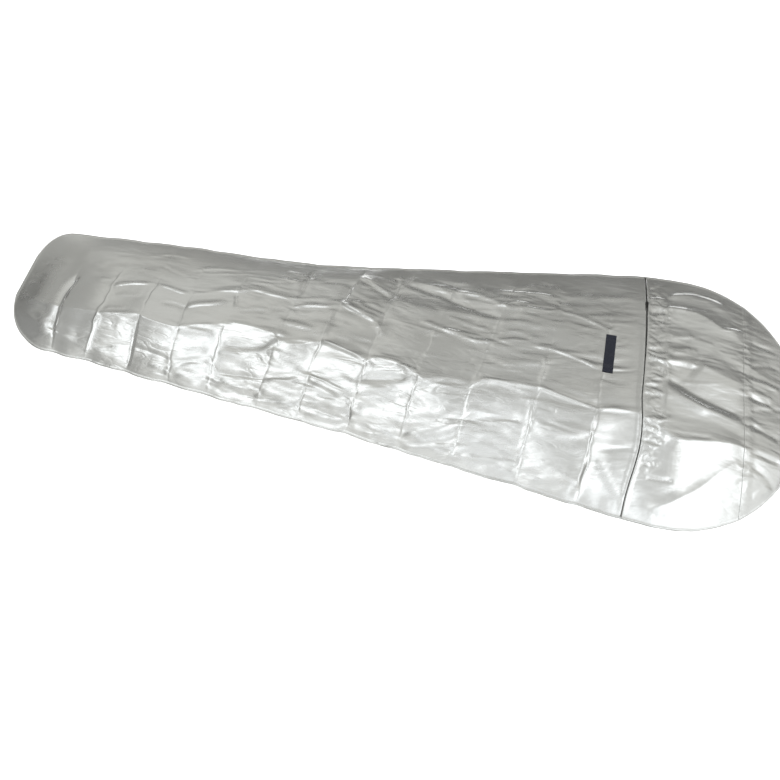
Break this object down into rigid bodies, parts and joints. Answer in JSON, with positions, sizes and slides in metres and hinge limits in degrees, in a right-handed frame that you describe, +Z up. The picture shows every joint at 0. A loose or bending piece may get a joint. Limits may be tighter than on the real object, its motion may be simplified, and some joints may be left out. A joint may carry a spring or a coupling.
{
  "type": "bivy bag",
  "caption": "Mummy-shaped bivy bag of silver aluminised film, lying closed and creased, with a zip across the chest, a rounded hood and a blank label.",
  "frame": {"origin": "on the ground under the middle of the bag's box", "axes": "+X towards the head, +Y across the bag, +Z up"},
  "size_m": [2.2, 0.8243, 0.081],
  "materials": {
    "film": "satin silver aluminised film with packing creases",
    "zip_tape": "matt woven tape with a nylon coil",
    "slider_metal": "dark satin",
    "label_weave": "matt woven navy"
  },
  "bodies": {
    "root": {"floor_panel": "film", "body_panel": "film", "hood_panel": "film", "hood_end_panel": "film", "zip": "zip_tape", "zip_slider": "slider_metal", "label": "label_weave"}
  },
  "joints": []
}
